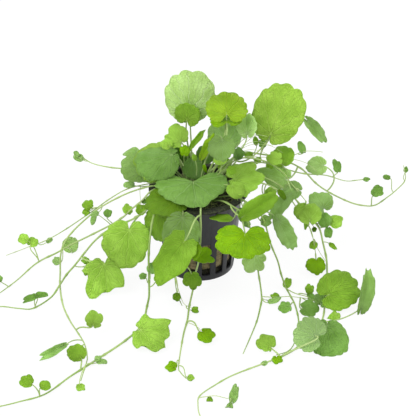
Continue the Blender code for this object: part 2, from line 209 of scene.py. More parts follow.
def skin(tree, colour, rough, shine=0.5, **more):
    inputs = {"Base Color": colour, "Roughness": rough, "Specular IOR Level": shine, **more}
    return node(tree, "BsdfPrincipled", inputs)


def pot_finish():
    """Black moulded plastic: a fine grain, duller scuffs, and a bluish grey on what faces up
    that is partly dust and partly painted sheen.
    """
    material, tree = new_material("black_pot")
    facing = node(tree, "SeparateXYZ", {0: node(tree, "NewGeometry").outputs["Normal"]}).outputs[2]
    # Painted sheen and dust: surfaces that face up are made a lighter bluish grey in patches.
    dust_and_sheen = times(tree, spread(tree, facing, 0.2, 1.0, 0.0, 0.7), object_noise(tree, 260))
    scuffed = spread(tree, object_noise(tree, 420, 6, (1, 1, 0.25)), 0.52, 0.72)
    wear_dust_and_sheen = maths(tree, "MAXIMUM", dust_and_sheen, times(tree, scuffed, 0.35))
    colour = blend(tree, wear_dust_and_sheen, (0.012, 0.0125, 0.0155, 1), (0.055, 0.058, 0.062, 1))
    specks = spread(tree, object_noise(tree, 900, 5), 0.42, 0.66)
    moss = blend(tree, specks, (0.012, 0.012, 0.009, 1), (0.05, 0.062, 0.024, 1))
    uneven = times(tree, object_noise(tree, 150), 0.006)
    near_lip = maths(tree, "ADD", object_height(tree), uneven)
    grown = spread(tree, near_lip, 0.0475, 0.0500, 0.0, 0.9)
    colour = blend(tree, grown, colour, moss)
    grain = object_noise(tree, 2600, 2)
    bump = relief(tree, 0.12, 0.0001, grain)
    rough = maths(tree, "MAXIMUM", grown, spread(tree, wear_dust_and_sheen, 0.0, 0.5, 0.34, 0.62))
    return shown(material, skin(tree, colour, rough, 0.3, Normal=bump))


def slot_block(bm, length, width, height, centre, angle):
    """A block that cuts one slot, lying along X at this centre and then turned about Z."""
    placed = Matrix.Rotation(angle, 4, "Z") @ Matrix.Translation(centre)
    size = Matrix.Diagonal((length, width, height, 1))
    bmesh.ops.create_cube(bm, size=1.0, matrix=placed @ size)


def spin_profile(bm, profile, steps, touching, closed=False):
    """Turns these points, each a radius and a height, about Z, and joins points that touch."""
    verts = [bm.verts.new((radius, 0.0, height)) for radius, height in profile]
    ends = [*verts[1:], verts[0]] if closed else verts[1:]
    edges = [bm.edges.new(pair) for pair in zip(verts, ends)]
    bmesh.ops.spin(
        bm, geom=verts + edges, cent=(0, 0, 0), axis=(0, 0, 1), angle=tau, steps=steps, use_merge=True
    )
    bmesh.ops.remove_doubles(bm, verts=bm.verts, dist=touching)


under_lip = POT_HEIGHT - LIP_DEPTH
round_lip = LIP_DEPTH / 2
lip = [
    (POT_LIP - round_lip + round_lip * sin(a), POT_HEIGHT - round_lip - round_lip * cos(a))
    for a in np.linspace(0.0, pi, 7)
]
profile = [
    (0.0, 0.0005), (POT_FOOT - 0.0022, 0.0005), (POT_FOOT - 0.0016, 0.0), (POT_FOOT - 0.0006, 0.0),
    (POT_FOOT - 0.0001, 0.0003), (POT_FOOT + 0.0001, 0.0009), (pot_radius(0.0028), 0.0028),
    (pot_radius(under_lip) - 0.0001, under_lip - 0.0008), (pot_radius(under_lip) + 0.0006, under_lip),
    *lip,
    (POT_TOP - POT_WALL + 0.0005, POT_HEIGHT), (POT_TOP - POT_WALL, POT_HEIGHT - 0.0005),
    (POT_FOOT - POT_WALL, POT_FLOOR + 0.0006), (POT_FOOT - POT_WALL - 0.0006, POT_FLOOR), (0.0, POT_FLOOR),
]
bm = bmesh.new()
spin_profile(bm, profile, POT_STEPS, TOUCHING)
bmesh.ops.recalc_face_normals(bm, faces=bm.faces)
pot = mesh_object("pot", bm, pot_finish())

bm = bmesh.new()
for number in range(SLOTS):
    angle = (number + 0.5) * tau / SLOTS
    centre = ((POT_FOOT + POT_TOP) / 2, 0, (SLOT_LOW + SLOT_HIGH) / 2)
    slot_block(bm, 0.01, SLOT_WIDTH, SLOT_HIGH - SLOT_LOW, centre, angle)
corners = [e for e in bm.edges if abs(e.verts[0].co.xy.length - e.verts[1].co.xy.length) > 0.005]
bmesh.ops.bevel(bm, geom=corners, offset=SLOT_CORNER, segments=3, affect="EDGES", profile=0.5, material=-1)
for number in range(FLOOR_SLOTS):
    angle = (number + 0.5) * tau / FLOOR_SLOTS
    length = FLOOR_SLOT_OUTER - FLOOR_SLOT_INNER
    centre = (FLOOR_SLOT_INNER + length / 2, 0, POT_FLOOR / 2)
    slot_block(bm, length, FLOOR_SLOT_WIDTH, 3 * POT_FLOOR, centre, angle)
cutter = mesh_object("slot_cutter", bm)
cut = pot.modifiers.new("slots", "BOOLEAN")
cut.operation = "DIFFERENCE"
cut.object = cutter
round_off = pot.modifiers.new("soft_edges", "BEVEL")
round_off.width = EDGE_ROUND
round_off.segments = 2
round_off.limit_method = "ANGLE"
round_off.angle_limit = radians(50)
shaped = bpy.data.meshes.new_from_object(pot.evaluated_get(bpy.context.evaluated_depsgraph_get()))
pot.modifiers.clear()
pot.data = shaped
shaped.set_sharp_from_angle(angle=radians(38))
bpy.data.objects.remove(cutter)
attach(pot, "root")
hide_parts("net_pot")


# ---- Mineral wool plug ----
# A block of brown-green mineral wool fibre, cut to the pot's taper. It shows through the slots and
# keeps its own solid; the fibres, the damp and the algae are in the finish.


def wool_finish():
    """Matted strands with damp clumps, darker where the top of the plug stays wet."""
    material, tree = new_material("mineral_wool")
    strands = object_noise(tree, 700, 8, (0.35, 0.35, 1.6), 0.7)
    clumps = object_noise(tree, 160, 4)
    dry = blend(tree, spread(tree, strands, 0.3, 0.7), (0.10, 0.075, 0.035, 1), (0.36, 0.29, 0.15, 1))
    damp = blend(tree, spread(tree, clumps, 0.45, 0.7, 0.0, 0.8), dry, (0.07, 0.075, 0.02, 1))
    wet = spread(tree, object_height(tree), 0.036, 0.041, 0.0, 0.92)
    colour = blend(tree, wet, damp, (0.016, 0.018, 0.005, 1))
    bump = relief(tree, 0.9, 0.0008, strands)
    return shown(material, skin(tree, colour, 0.95, Normal=bump))


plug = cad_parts["mineral_wool_plug"]
for place in plug.material_slots:
    place.material = wool_finish()


# ---- Root mat ----
# The shoots leave the plug from a low crown of matted roots, old stem bases and damp moss, dark
# between the leaves. It fills the pot's top up to just below the lip, and a tail of roots,
# coloured near-black as painted shade, fills the space round the plug's foot.

MM = 0.001
TABLE_GAP = 0.05  # how far above the table the lowest skin lies
BURIED = 1.5  # how deep in the crown a stem or a stalk begins
CROWN_RADIUS, CROWN_HEIGHT, CROWN_FOOT = 14.0, 6.0, 42.3
MAT_RADIUS, MAT_TOP, LUMPS = 22.3, 46.4, 1.1
STRANDS, STRAND_STEP = 170, 1.5
TAIL_INNER, TAIL_OUTER, TAIL_STRANDS = 13.6, 17.0, 90


def crown_height(x, y):
    """Height of the crown above (x, y), in millimetres like all of the plant's plan."""
    inside = 1.0 - (x * x + y * y) / CROWN_RADIUS**2
    return CROWN_FOOT + CROWN_HEIGHT * sqrt(max(inside, 0.0))


def grow_tube(bm, points, radii, sides, material=0):
    """A closed tube through these points, with its own radius at each."""
    points = [Vector(point) for point in points]
    ways = [(b - a).normalized() for a, b in zip([points[0], *points], [*points[1:], points[-1]])]
    start = Matrix.Translation(points[0]) @ ways[0].to_track_quat("Z", "Y").to_matrix().to_4x4()
    made = bmesh.ops.create_circle(bm, cap_ends=True, segments=sides, radius=radii[0], matrix=start)["verts"]
    grown = list(made)
    end = made[0].link_faces[0]
    for number in range(1, len(points)):
        end = bmesh.ops.extrude_discrete_faces(bm, faces=[end])["faces"][0]
        turn = ways[number - 1].rotation_difference(ways[number]).to_matrix().to_4x4()
        size = Matrix.Scale(radii[number] / radii[number - 1], 4)
        move = Matrix.Translation(points[number]) @ turn @ size @ Matrix.Translation(-points[number - 1])
        bmesh.ops.transform(bm, matrix=move, verts=end.verts)
        grown += end.verts
    for vert in grown:
        for face in vert.link_faces:
            face.material_index = material
    return grown


def close_plant(name, bm, *materials):
    """Keeps the piece above the table, turns its faces outwards and brings it to metres."""
    for vert in bm.verts:
        vert.co.z = max(vert.co.z, TABLE_GAP)
    bmesh.ops.recalc_face_normals(bm, faces=bm.faces)
    bmesh.ops.scale(bm, vec=(MM, MM, MM), verts=bm.verts)
    made = mesh_object(name, bm, *materials)
    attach(made, "root")
    return made


def mat_finish(name, moss):
    """Dark rotted fibre, with some of it this colour of moss."""
    material, tree = new_material(name)
    patches = spread(tree, object_noise(tree, 330, 6), 0.38, 0.66)
    fine = spread(tree, object_noise(tree, 1500, 4), 0.3, 0.7)
    mossy = blend(tree, patches, (0.012, 0.011, 0.006, 1), moss)
    colour = blend(tree, times(tree, fine, 0.25), mossy, (0.08, 0.07, 0.035, 1))
    bump = relief(tree, 0.8, 0.0006, fine)
    return shown(material, skin(tree, colour, 0.9, Normal=bump))


def strand_finish():
    material, tree = new_material("root_strands")
    along = spread(tree, object_noise(tree, 240, 3), 0.35, 0.65)
    colour = blend(tree, along, (0.05, 0.06, 0.015, 1), (0.20, 0.22, 0.07, 1))
    rough = spread(tree, object_noise(tree, 900, 2), 0.3, 0.7, 0.55, 0.8)
    return shown(material, skin(tree, colour, rough))


chance = Random(7)
bm = bmesh.new()
profile = [(0.0, 41.0), (MAT_RADIUS - 0.6, 41.6), (MAT_RADIUS, 44.5), (MAT_RADIUS - 1.2, 46.0)]
for radius in (18.5, 16, 13.5, 11, 8.5, 6, 3.5, 1.5, 0):
    profile.append((radius, MAT_TOP + (CROWN_RADIUS - radius) * 0.12))
spin_profile(bm, profile, 96, TOUCHING / MM)
for vert in bm.verts:
    if vert.co.z > 44 and vert.co.xy.length < MAT_RADIUS - 0.1:
        vert.co.z += LUMPS * noise.fractal(vert.co * 0.35, 0.7, 2.2, 4)
mat = close_plant("root_mat", bm, mat_finish("mossy_roots", (0.045, 0.068, 0.012, 1)))
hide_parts("root_crown")

bm = bmesh.new()
for _ in range(STRANDS):
    angle, reach = chance.uniform(0, tau), MAT_RADIUS * sqrt(chance.random()) * 0.95
    x, y = reach * cos(angle), reach * sin(angle)
    heading = chance.uniform(0, tau)
    points = []
    for _ in range(6):
        above = MAT_TOP + 0.4 + (CROWN_RADIUS - hypot(x, y)) * 0.1
        points.append((x, y, above + chance.uniform(-0.5, 1.6)))
        heading += chance.uniform(-0.8, 0.8)
        x, y = x + STRAND_STEP * cos(heading), y + STRAND_STEP * sin(heading)
        out = hypot(x, y) / (MAT_RADIUS - 0.5)
        if out > 1:
            x, y = x / out, y / out
            heading += 1.2
    thick = chance.uniform(0.14, 0.32)
    grow_tube(bm, points, [thick * w for w in (0.7, 1, 1, 1, 0.8, 0.5)], 4)
strands = close_plant("root_strands", bm, strand_finish())

bm = bmesh.new()
profile = [
    (TAIL_INNER, 1.4), (TAIL_OUTER - 0.8, 1.4), (TAIL_OUTER, 2.6), (TAIL_OUTER + 0.2, 5.0),
    (TAIL_OUTER - 0.8, 7.6), (TAIL_INNER + 0.9, 7.0),
]
spin_profile(bm, profile, 72, TOUCHING / MM, closed=True)
for vert in bm.verts:
    if vert.co.z > 2 and vert.co.xy.length > TAIL_INNER + 1:
        vert.co.xy *= 1.0 + 0.035 * noise.fractal(vert.co * 0.5, 0.7, 2.2, 3)
for _ in range(TAIL_STRANDS):
    angle, height = chance.uniform(0, tau), chance.uniform(1.9, 9.0)
    reach = chance.uniform(16.8, 17.5)
    points = []
    for _ in range(7):
        points.append((reach * cos(angle), reach * sin(angle), height))
        angle += chance.uniform(0.02, 0.12)
        height = min(max(height + chance.uniform(-1.5, 1.5), 1.8), 9.5)
    thick = chance.uniform(0.15, 0.3)
    grow_tube(bm, points, [thick] * 7, 4)
# Painted shade: the tail is near-black where the inside of the pot's foot lies in shade.
tail = close_plant("root_tail", bm, mat_finish("roots_painted_shade", (0.02, 0.018, 0.009, 1)))


# ---- Stems ----
# Long pale runners, round and about a millimetre thick. They grow from the crown, cross the lip
# and trail along the table. A small swelling marks each node, where leaves join.

STEM_STEP = 2.0
CURVE_STEPS = 12
LYING_GAP = 0.4
NODE_SPACING, NODE_SWELLING = 17.0, 0.45
STEMS = {
    "left_high": (0.40, (-9, 6), (
        (-17, 9, 52), (-27, 12, 54), (-41, 15, 52), (-52, 19, 51), (-61, 24, 51), (-68, 28, 55),
    )),
    "left_thin": (0.35, (-10, 3), (
        (-21, 2, 50.5), (-27, 1, 50.5), (-39, 5, 45), (-49, 10, 36), (-60, 14, 25), (-76, 19, 10),
        (-86, 18, 4), (-94, 17), (-101, 12), (-109, 6),
    )),
    "left_long": (0.50, (-10.5, 0), (
        (-21, -2, 50.5), (-27, -2, 50.5), (-38, 0, 45.5), (-48, 2, 39), (-56, 3, 33), (-63, 2, 27),
        (-70, -1, 21), (-75, -4, 15), (-77, -6, 8), (-77, -12), (-76, -26), (-73, -44), (-68, -59),
        (-63, -70), (-59, -80), (-57, -91), (-57, -99, 2.8), (-59, -111),
    )),
    "left_middle": (0.50, (-10, -3), (
        (-21, -6, 51), (-26, -7, 50.5), (-31, -10, 46), (-36, -11, 42), (-44, -9, 33), (-60, -5, 21),
        (-72, -1, 12), (-80, 2, 5), (-90, -1), (-100, -19), (-107, -30), (-113, -38),
    )),
    "left_low": (0.55, (-8.5, -6), (
        (-18, -11, 51), (-23, -14, 51), (-27, -17, 46), (-33, -18, 41), (-41, -17, 36), (-50, -15, 30),
        (-57, -14, 23), (-63, -14, 15), (-69, -13, 6), (-73, -16, 2.5), (-76, -27, 2.8), (-80, -38, 2),
        (-89, -47), (-96, -47), (-107, -45), (-114, -48),
    )),
    "front_left": (0.60, (-7, -8.5), (
        (-16, -16, 51), (-21, -20, 51), (-24, -25, 46), (-26, -27, 35), (-27, -29, 23), (-27, -31, 12),
        (-27, -36), (-28, -47), (-29, -58), (-32, -67), (-40, -79), (-51, -92), (-58, -100), (-65, -108),
        (-76, -122), (-88, -128), (-98, -132), (-106, -133),
    )),
    "front": (0.55, (-1, -11), (
        (1, -21, 53), (1, -27, 52), (1, -30, 48), (1, -31, 37), (0, -32, 22), (-2, -32, 13), (-3, -33, 5),
        (-5, -44), (-6, -58), (-8, -72), (-10, -98), (-9, -104), (-6, -109),
    )),
    "front_short": (0.40, (-5, -10), (
        (-9, -20, 50.8), (-11, -26, 50.3), (-12, -29, 45), (-13, -30, 30), (-13, -31, 15), (-12.5, -32, 5),
        (-11, -37), (-9, -44),
    )),
    "right_low": (0.50, (8.5, -6), (
        (18, -13, 51), (25, -18, 50.5), (31, -21, 47), (35, -22, 41), (39, -22, 26), (43, -22, 15),
        (45, -23, 7), (48, -29), (50, -36), (52, -45), (53, -60), (51, -74), (47, -85), (40, -89),
    )),
    "front_right": (0.50, (6, -9), (
        (12, -18, 51), (18, -23, 50.5), (24, -26, 47), (29, -28, 35), (31, -28, 23), (32, -29, 14),
        (33.5, -32, 5), (34, -38), (33, -46), (31, -58), (28, -70), (23, -88),
    )),
    "right_thin": (0.40, (10.5, -2), (
        (22, -1, 52), (28, -1, 53), (37, 1, 50), (44, 3, 45), (51, 4, 38), (54, 4, 33), (58, 3, 27),
        (62, 1, 21), (64, -1, 13), (65, -2, 7),
    )),
    "right_long": (0.55, (10.5, 1.5), (
        (22, 3, 53), (28, 4, 54), (37, 6, 51), (46, 8, 44), (53, 8, 37), (58, 8, 30), (63, 7, 24),
        (67, 4, 20), (69, 0, 13), (71, -4, 5), (71, -12), (70, -27), (68, -41), (66, -56), (61, -71),
        (55, -78), (48, -86), (42, -91), (34, -96), (18, -106), (9, -114), (1, -123), (0, -130), (1, -139),
        (5, -146),
    )),
    "right_back": (0.50, (7, 8.5), (
        (21, 12, 62), (35, 15, 61), (46, 18, 56), (57, 22, 48), (66, 28, 35), (75, 36, 24), (88, 49, 10),
        (97, 57, 3), (104, 61), (111, 63, 5), (117, 63, 11), (121, 62, 18), (119, 59, 29),
    )),
    "right_high": (0.40, (9.5, 5), (
        (22, 8, 58), (35, 11, 58), (47, 15, 52), (58, 20, 46), (71, 25, 42), (83, 29, 36), (93, 31, 36),
    )),
    "right_short": (0.50, (7, 4.5), (
        (20, 7, 62), (35, 8, 61), (46, 7, 54), (50, 7, 48), (55, 6, 42), (59, 5, 37),
    )),
    "back": (0.50, (-2, 10.5), (
        (-2, 19, 54), (-4, 28, 55), (-7, 36, 45), (-10, 44, 26), (-12, 54, 9), (-12, 66), (-10, 80),
        (-5, 93),
    )),
    "back_short": (0.45, (4, 10), (
        (8, 20, 54), (10, 28, 54.5), (12, 36, 45), (13, 44, 26), (14, 53, 9), (15, 64), (12, 80),
    )),
}


def smooth_route(points):
    """Points every STEM_STEP along the smooth curve through these points."""
    p = np.array(points, float)
    p = np.vstack([2 * p[0] - p[1], p, 2 * p[-1] - p[-2]])
    fine = [p[1]]
    for a, b, c, d in zip(p, p[1:], p[2:], p[3:]):
        span = (b, b + (c - a) / 6, c - (d - b) / 6, c)
        fine += geometry.interpolate_bezier(*span, CURVE_STEPS + 1)[1:]
    fine = np.array(fine)
    along = np.r_[0.0, np.cumsum(np.linalg.norm(np.diff(fine, axis=0), axis=1))]
    even = np.linspace(0.0, along[-1], round(along[-1] / STEM_STEP) + 1)
    return np.stack([np.interp(even, along, fine[:, axis]) for axis in range(3)], axis=1)


def stem_route(radius, start, points):
    x, y = start
    route = [(x, y, crown_height(x, y) + radius - BURIED)]
    for point in points:
        route.append((*point[:2], point[2] if len(point) == 3 else radius + LYING_GAP))
    route = smooth_route(route)
    route[:, 2] = np.maximum(route[:, 2], radius + LYING_GAP)
    return route


def colour_of(red, green, blue):
    """A colour given in the everyday 0 to 255 scale, as a shader takes it."""
    parts = (part / 255 for part in (red, green, blue))
    return Vector(((part + 0.055) / 1.055) ** 2.4 if part > 0.04 else part / 12.92 for part in parts)


def stem_finish():
    """Pale green skin, slightly streaked along the stem, and darker green in broad random patches."""
    material, tree = new_material("stem_skin")
    tone = node(tree, "Attribute", attribute_name="tone").outputs["Color"]
    streaks = spread(tree, object_noise(tree, 320, 3), 0.3, 0.7)
    blush = spread(tree, object_noise(tree, 45, 2), 0.45, 0.7, 0.0, 0.5)
    colour = blend(tree, times(tree, streaks, 0.3), tone, (0.62, 0.70, 0.36, 1))
    colour = blend(tree, blush, colour, (0.22, 0.36, 0.06, 1))
    bump = relief(tree, 0.25, 0.0002, streaks)
    shader = skin(tree, colour, spread(tree, streaks, 0, 1, 0.42, 0.55), Normal=bump)
    glow = node(tree, "BsdfTranslucent", {"Color": colour})
    mixed = node(tree, "MixShader", {0: 0.25, 1: shader.outputs[0], 2: glow.outputs[0]})
    return shown(material, mixed)


GREEN_RUNNERS = ("front_left", "right_low", "front_right", "left_low", "front_short")
PALE_STEM = colour_of(188, 208, 136)
GREEN_STEM = colour_of(134, 172, 66)
stem_skin = stem_finish()
routes = {}
for name, (radius, start, points) in STEMS.items():
    route = routes[name] = stem_route(radius, start, points)
    bm = bmesh.new()
    tone = bm.verts.layers.float_color.new("tone")
    swell = Random(name).uniform(4, NODE_SPACING)
    radii = []
    for number in range(len(route)):
        share = number / (len(route) - 1)
        near_node = abs((number * STEM_STEP - swell + NODE_SPACING / 2) % NODE_SPACING - NODE_SPACING / 2)
        thin = 1.0 - 0.5 * max(0.0, 3.0 * share - 2.0)
        radii.append(0.92 * radius * thin * (1.0 + NODE_SWELLING * exp(-(near_node / 1.1) ** 2)))
    for vert in grow_tube(bm, route, radii, 8):
        green = noise.noise(vert.co * 0.04) * 0.5 + (0.9 if name in GREEN_RUNNERS else 0.4)
        mixed = min(max(green, 0.0), 1.0)
        vert[tone] = (*PALE_STEM.lerp(GREEN_STEM, mixed), 1.0)
    stem = close_plant("runner_" + name, bm, stem_skin)
    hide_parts("stem_" + name)


# ---- Leaves ----
# Round to kidney-shaped blades a third of a millimetre thick with a notched base, shallow round
# teeth and veins that fan out from the stalk. Each sits on its own thin stalk from crown or runner.

BLADE, RINGS = 0.3, 6
VEIN_SPACING = 0.60  # radians between main veins
YOUNG = 9.0  # below this width a blade is young: few teeth, cut deeper, and coarser veins
# Painted light: young blades are made this much lighter, as thin blades let more light through.
YOUNG_PAINTED_LIGHT = 1.22
# Painted light and shade: one side of each blade is made lighter than the other.
PAINTED_LIT_SIDE = 0.32  # how much lighter one side of a blade is than the other
STALK_STEPS = 12
STALK_THICK = 0.42
STALK_PULL = 0.38
STALK_SLANT = radians(41)
SHOOT_ORIGIN = 67.0  # how far below the crown the lines of its stalks would meet
PALE = colour_of(176, 212, 126)
BACK = colour_of(168, 198, 120)
SOFT = colour_of(150, 188, 106)
FRESH = colour_of(152, 194, 72)
CLEAR = colour_of(145, 182, 64)
BRIGHT = colour_of(128, 176, 0)
OLIVE = colour_of(142, 180, 34)
MID = colour_of(130, 174, 46)
GREY = colour_of(130, 166, 86)
COOL = colour_of(120, 163, 74)
DEEP = colour_of(102, 142, 24)
SHADE = colour_of(94, 132, 58)

# How far the middle lies beyond the stalk, length beside width, how pointed the tip is, how many
# teeth go round and how deep they are, where the lobes end (degrees round from the tip), and how
# far the outline wanders
KIDNEY = (0.20, 0.86, 0.0, 17, 0.08, 152, 0.10)
HEART = (0.26, 1.0, 0.06, 17, 0.075, 160, 0.13)
ROUND = (0.34, 1.0, 0.0, 17, 0.06, 166, 0.09)
OVAL = (0.35, 1.2, 0.0, 20, 0.055, 166, 0.07)
NARROW = (0.36, 1.7, 0.08, 14, 0.07, 160, 0.08)
SLIM = (0.30, 1.95, 0.10, 12, 0.10, 160, 0.10)
STRAP = (0.32, 2.6, 0.0, 18, 0.08, 165, 0.12)
BROAD = (0.07, 0.76, 0.26, 20, 0.055, 132, 0.05)
LOBED = (0.28, 1.0, 0.06, 7, 0.20, 155, 0.14)
ANGULAR = (0.28, 1.0, 0.05, 6, 0.24, 150, 0.18)
POINTED = (0.24, 1.25, 0.45, 10, 0.13, 140, 0.10)
SCOOP = (0.30, 1.0, 0.0, 7, 0.13, 150, 0.14)
CHIP = (0.34, 1.4, 0.15, 5, 0.14, 160, 0.16)
SHARP = (ANGULAR, POINTED, STRAP)  # forms whose teeth are points and not round

# Each leaf: what it grows from and where, the point where stalk and blade meet, how far round to
# the right the face looks, the width and form, how far up the face looks, how far the tip is turned
# from downhill, how far the halves fold up, and the tone
LEAVES = {
    "top_left": ("crown", (-3, 6), (-5, 20, 83), 0, 28.5, ROUND, 30, 182, 4, BACK),
    "top_middle": ("crown", (6, 2), (15, 6, 90.7), 0, 24, KIDNEY, 55, 180, -4, OLIVE),
    "top_right": ("right_back", 0.11, (39, 12, 75), 0, 29, OVAL, 28, 158, 6, CLEAR),
    "top_far_right": ("right_back", 0.20, (59.5, 17, 80.5), 5, 9.5, SLIM, 31, 42, 42, SOFT),
    "middle_high": ("crown", (2, 5), (15.5, 10, 69), 5, 19, ROUND, 40, 185, 0, SOFT),
    "middle_low": ("crown", (0, 3), (12.5, -6, 81), -5, 15, HEART, 35, 5, 0, GREY),
    "folded": ("crown", (6, 5), (26, 6, 79), 0, 14, HEART, 40, 184, 34, PALE),
    "top_far_left": ("crown", (-6, 6), (-10, 10, 72), -10, 14, LOBED, 40, 228, 0, FRESH),
    "rim_right": ("crown", (6, -3), (19, -3, 56), 10, 21, LOBED, 62, 92, 4, FRESH),
    "rim_front": ("crown", (-2, -4), (-3, -8, 57), 0, 40, BROAD, 84, 4, 6, COOL),
    "rim_far_left": ("crown", (-7, 3), (-28.5, 5, 57.5), -15, 19, HEART, 45, 275, 0, GREY),
    "under_left": ("crown", (-5, -7), (-10.5, -20.5, 53.5), -10, 24, HEART, 72, 285, -6, DEEP),
    "hanging_left": ("front_left", 0.095, (-21, -20.2, 44.5), -30, 17, OVAL, 12, 350, 4, MID),
    "hanging_pale": ("front_short", 0.22, (-8.5, -31.5, 48.5), -4, 21, OVAL, 14, 356, 2, GREY),
    "hanging_front": ("front", 0.16, (-7.5, -47, 43.5), 0, 20.5, POINTED, 38, 322, 14, MID),
    "pot_foot": ("front_short", 0.62, (-4, -36, 15.5), 0, 10.5, SCOOP, 30, 2, 0, MID),
    "heart_left": ("left_middle", 0.15, (-37.5, -20.5, 34), -5, 26, HEART, 24, 356, 6, FRESH),
    "floor_left": ("left_low", 0.50, (-51.5, -24.3, 14.5), -5, 26, ANGULAR, 42, 10, 12, FRESH),
    "kidney_right": ("right_low", 0.15, (24.5, -38, 42.4), 3, 30, KIDNEY, 74, 350, 4, BRIGHT),
    "under_kidney": ("front_right", 0.30, (30, -33, 26), 0, 13, LOBED, 30, 0, 4, PALE),
    "slanting": ("front_right", 0.15, (24, -32, 50), 0, 14, NARROW, 35, 124, 42, MID),
    "right_pointed": ("right_back", 0.34, (48, 14, 46), -10, 14, POINTED, 25, 262, 10, PALE),
    "right_hanging": ("right_short", 0.77, (50, 2, 43), -20, 9, STRAP, 25, 328, 20, SOFT),
    "right_drooping": ("right_low", 0.22, (43, -18, 38), 10, 11, STRAP, 20, 26, 20, SOFT),
    "right_upper": ("right_long", 0.23, (69, 8, 31), 10, 14, HEART, 55, 200, 6, SOFT),
    "right_lower": ("right_thin", 0.72, (61, -2, 29), -10, 13, HEART, 55, 185, 6, FRESH),
    "far_right": ("right_back", 0.52, (69, 24, 49), -5, 11.5, HEART, 55, 275, 4, PALE),
    "right_round": ("right_high", 0.45, (46, 10, 58), 5, 13, ROUND, 50, 180, 6, MID),
    "floor_bright": ("right_thin", 1.0, (65, -8.5, 6.5), 0, 11, HEART, 62, 0, 2, BRIGHT),
    "floor_large": ("right_long", 0.48, (69, -46, 9), 0, 24, HEART, 54, 112, 4, MID),
    "floor_pale": ("right_long", 0.71, (60.3, -87, 11.3), 180, 20, KIDNEY, -50, 112, 0, SOFT),
    "floor_dark": ("right_long", 0.57, (67, -74, 9), 10, 20, OVAL, 58, 354, 6, COOL),
    "floor_upright": ("right_long", 0.56, (87, -51, 4), 20, 9.5, STRAP, 10, 156, 20, GREY),
    "crinkled": ("right_long", 0.71, (37, -86, 4), 0, 10.5, LOBED, 55, 228, 8, FRESH),
    "front_small": ("front", 0.65, (2, -74.4, 5), 0, 10, SCOOP, 75, 50, 0, BRIGHT),
    "lobed": ("front_left", 0.50, (-30, -76.3, 7.5), 0, 24, ANGULAR, 60, 72, 8, FRESH),
    "front_left": ("front_left", 0.72, (-59.5, -99, 6.6), 0, 10, ROUND, 60, 215, 4, MID),
    "back": ("back", 0.45, (0, 52, 26), 165, 18, HEART, 40, 5, 6, MID),
    "left_small": ("left_long", 0.77, (-55, -72, 8), 0, 10, LOBED, 40, 170, 8, FRESH),
    "rim_left": ("crown", (-6, 2), (-14.5, 2, 68), -5, 25, ROUND, 62, 290, -20, COOL),
    "shaded": ("crown", (-4, -1), (-3.5, 6, 62), 0, 13, ROUND, 42, 10, 4, SHADE),
}


def facing(heading, lift, turn):
    """How a blade lies: X runs to its right side, Y to its tip, and Z out of its face."""
    heading, lean, turn = (radians(angle) for angle in (heading, 90 - lift, 180 + turn))
    return Matrix.Rotation(heading, 3, "Z") @ Matrix.Rotation(lean, 3, "X") @ Matrix.Rotation(turn, 3, "Z")


